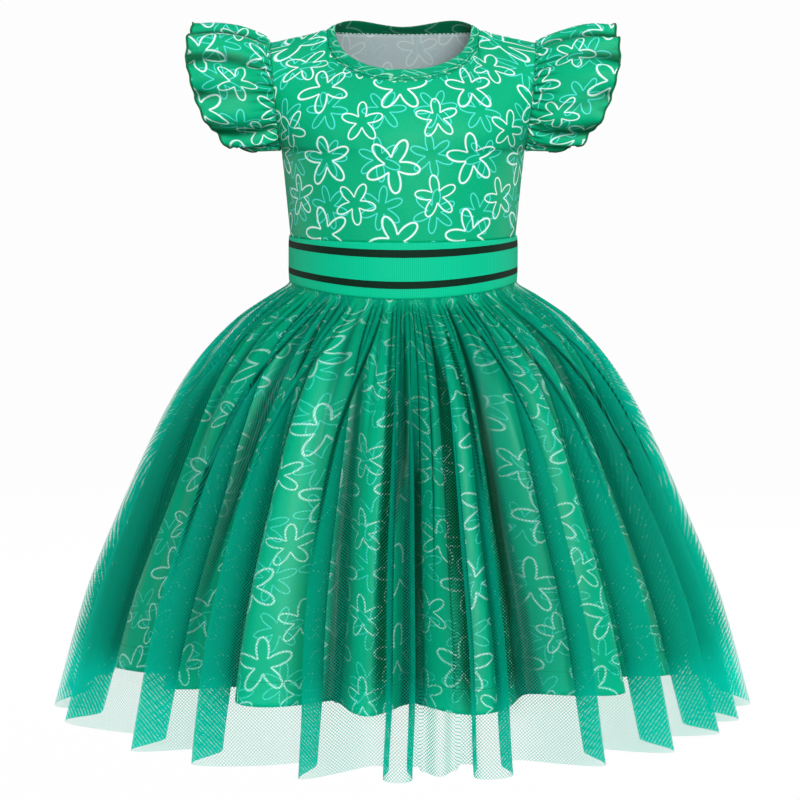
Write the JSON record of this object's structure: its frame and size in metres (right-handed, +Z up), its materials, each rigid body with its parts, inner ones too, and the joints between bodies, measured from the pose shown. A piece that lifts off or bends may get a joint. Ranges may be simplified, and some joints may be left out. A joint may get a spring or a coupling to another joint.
{
  "type": "princess dress",
  "caption": "Child's dress with a printed knit bodice, flutter sleeves, striped waistband and a gathered satin skirt under a longer net skirt.",
  "frame": {"origin": "midway between the two shoulder seams at the height of the neck's side points, where the dress hangs on its wearer", "axes": "+Z up, -Y out of the wearer's chest, +X to the wearer's left"},
  "size_m": [0.584, 0.5066, 0.5768],
  "materials": {
    "printed_knit": "satin",
    "band_knit": "matte",
    "printed_satin": "satin",
    "green_net": "matte"
  },
  "bodies": {
    "root": {"bodice_front": "printed_knit", "bodice_back": "printed_knit", "neck_binding": "printed_knit", "sleeve_left": "printed_knit", "sleeve_right": "printed_knit", "waistband_front": "band_knit", "waistband_back": "band_knit", "underskirt_front": "printed_satin", "underskirt_back": "printed_satin", "net_skirt_front": "green_net", "net_skirt_back": "green_net"}
  },
  "joints": []
}
